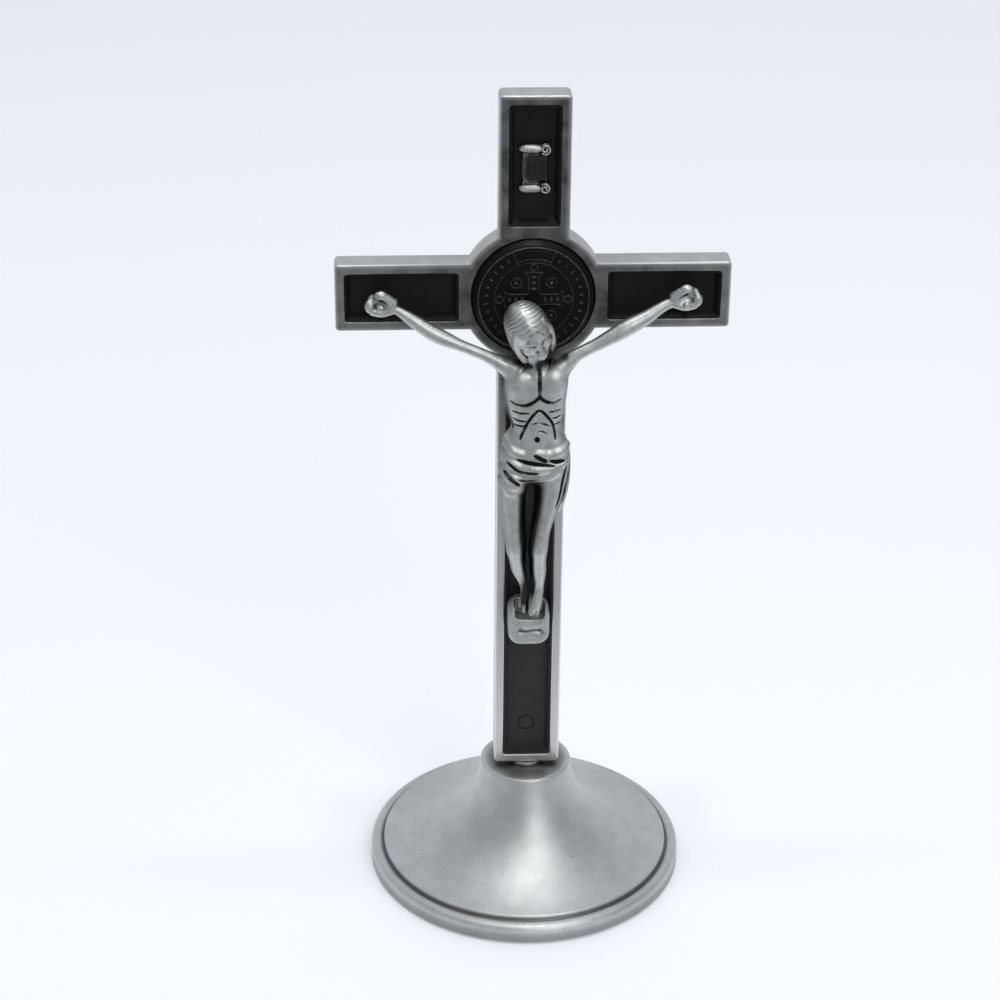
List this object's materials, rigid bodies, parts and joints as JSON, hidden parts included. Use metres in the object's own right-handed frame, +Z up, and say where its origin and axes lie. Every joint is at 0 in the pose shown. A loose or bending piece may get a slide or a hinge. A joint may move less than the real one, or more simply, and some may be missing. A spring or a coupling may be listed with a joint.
{
  "type": "altar cross",
  "caption": "Standing crucifix: die-cast cross with dark recessed panels, a centre medal and a corpus on a footrest, on a round trumpet base.",
  "frame": {"origin": "centre of the underside of the felt pad, on the surface the base stands on", "axes": "+Z up the upright, the corpus faces -Y, +X to the viewer's right"},
  "size_m": [0.08, 0.0692, 0.18],
  "materials": {
    "antique_silver": "antique silver plate on a zinc casting, brushed on the high places with dark patina in the hollows",
    "black_enamel": "satin black enamel",
    "black_medal": "blackened metal with a satin gloss and rubbed edges",
    "zinc_steel": "bright zinc plating",
    "felt": "matt black felt"
  },
  "bodies": {
    "root": {"base_casting": "antique_silver", "centre_medal": "black_medal", "corpus": "antique_silver", "cross_frame": "antique_silver", "felt_pad": "felt", "flat_washer": "zinc_steel", "footrest": "antique_silver", "footrest_rivet": "antique_silver", "hand_nail_left": "antique_silver", "hand_nail_right": "antique_silver", "hex_nut": "zinc_steel", "inlay_bottom": "black_enamel", "inlay_left": "black_enamel", "inlay_right": "black_enamel", "inlay_top": "black_enamel", "spacer_washer": "zinc_steel", "spring_washer": "zinc_steel", "titulus_scroll": "antique_silver"}
  },
  "joints": []
}
